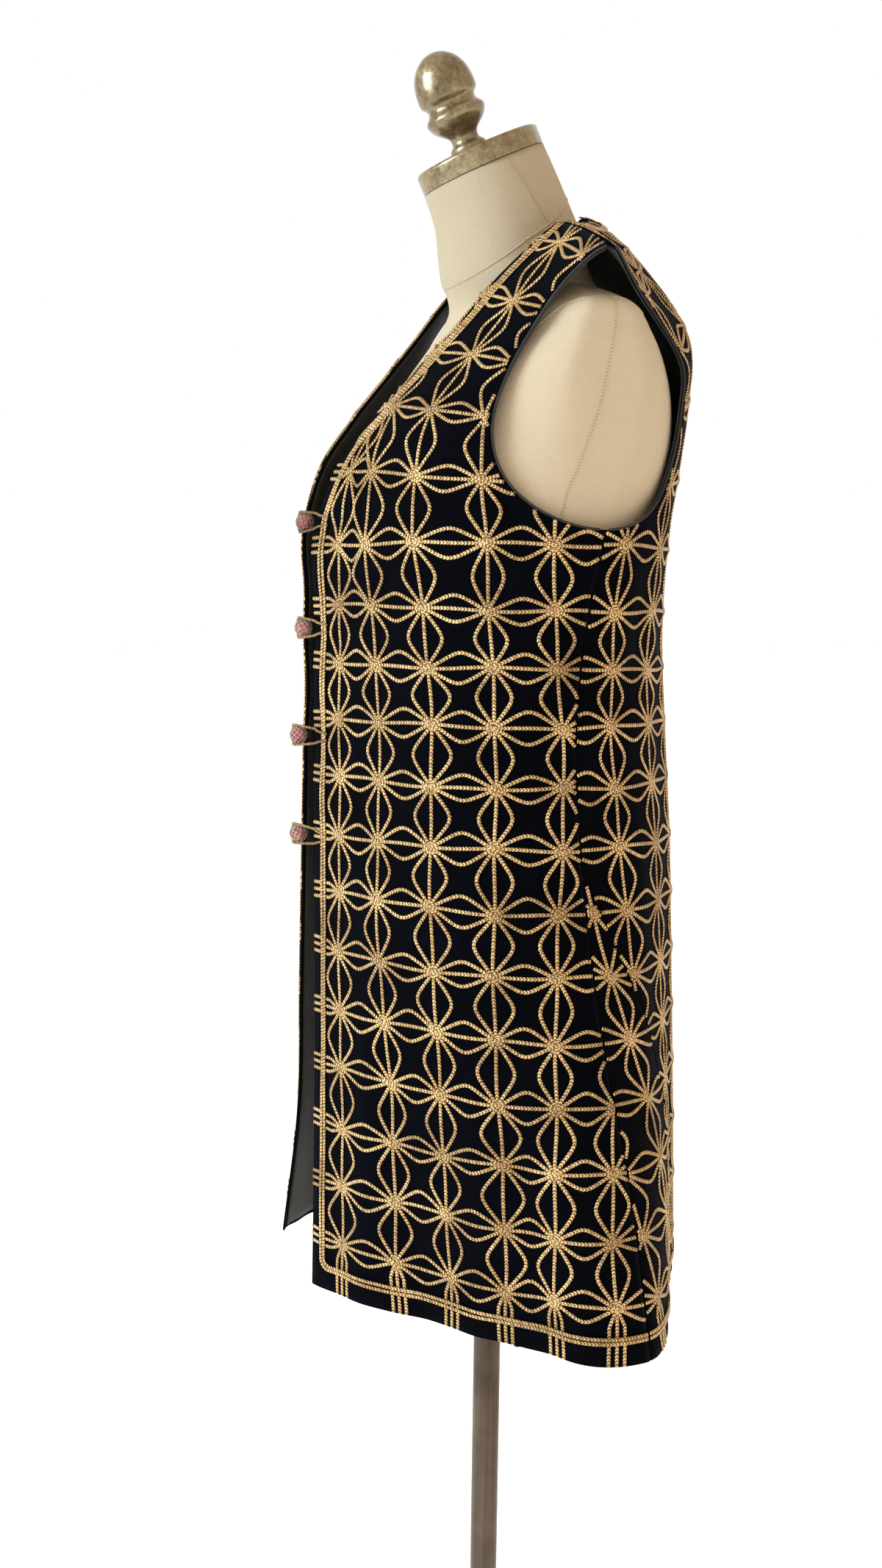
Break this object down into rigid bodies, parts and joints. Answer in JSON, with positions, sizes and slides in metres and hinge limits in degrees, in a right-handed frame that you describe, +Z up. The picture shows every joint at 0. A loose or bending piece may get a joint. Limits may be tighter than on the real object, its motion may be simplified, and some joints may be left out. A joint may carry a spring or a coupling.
{
  "type": "embroidered folk vest on a limbless dress form with its stand",
  "caption": "Sleeveless thigh-length folk vest of dark velvet with couched gold braid, open down the front, worn by a padded limbless dress form on an adjustable stand.",
  "frame": {"origin": "centre of the base's underside, on the floor", "axes": "+Z up the pole, -Y the way the vest's front faces, +X the wearer's left"},
  "size_m": [0.4522, 0.3523, 1.5305],
  "materials": {
    "velvet": "pile",
    "lining": "woven",
    "gold_braid": "metallic plaited cord",
    "button_ball": "netted thread",
    "linen": "plain weave",
    "antiqued_bronze": "antiqued, glossy",
    "bronze_steel": "dark bronze coat",
    "base_iron": "dark enamel"
  },
  "bodies": {
    "stand": {"base": "base_iron", "stand_tube": "bronze_steel", "clamp_nut": "bronze_steel"},
    "pole": {"inner_pole": "bronze_steel"},
    "form": {"back": "velvet", "button_1": "button_ball", "button_2": "button_ball", "button_3": "button_ball", "button_4": "button_ball", "edge_braid_left": "gold_braid", "edge_braid_right": "gold_braid", "finial": "antiqued_bronze", "form_body": "linen", "front_left": "velvet", "front_right": "velvet", "gore_braid_left": "gold_braid", "gore_braid_right": "gold_braid", "gore_left": "velvet", "gore_right": "velvet", "hem_braid_back": "gold_braid", "lining_back": "lining", "lining_front_left": "lining", "lining_front_right": "lining", "lining_gore_left": "lining", "lining_gore_right": "lining", "loop_1": "gold_braid", "loop_2": "gold_braid", "loop_3": "gold_braid", "loop_4": "gold_braid", "neck_braid_back": "gold_braid", "neck_cap": "antiqued_bronze", "shank_1": "gold_braid", "shank_2": "gold_braid", "shank_3": "gold_braid", "shank_4": "gold_braid"},
    "clamp": {"clamp_screw": "bronze_steel"}
  },
  "joints": [
    {"name": "height_slide", "type": "slide", "parent": "stand", "child": "pole", "axis": [0, 0, 1], "range_m": [-0.15, 0.15]},
    {"name": "form_swivel", "type": "hinge", "parent": "pole", "child": "form", "pos_m": [0, 0, 0.8], "axis": [0, 0, 1], "continuous": true},
    {"name": "clamp_turn", "type": "hinge", "parent": "stand", "child": "clamp", "pos_m": [0, 0, 0.454], "axis": [0.5388, 0.8425, 0], "range_deg": [-180, 360]}
  ]
}
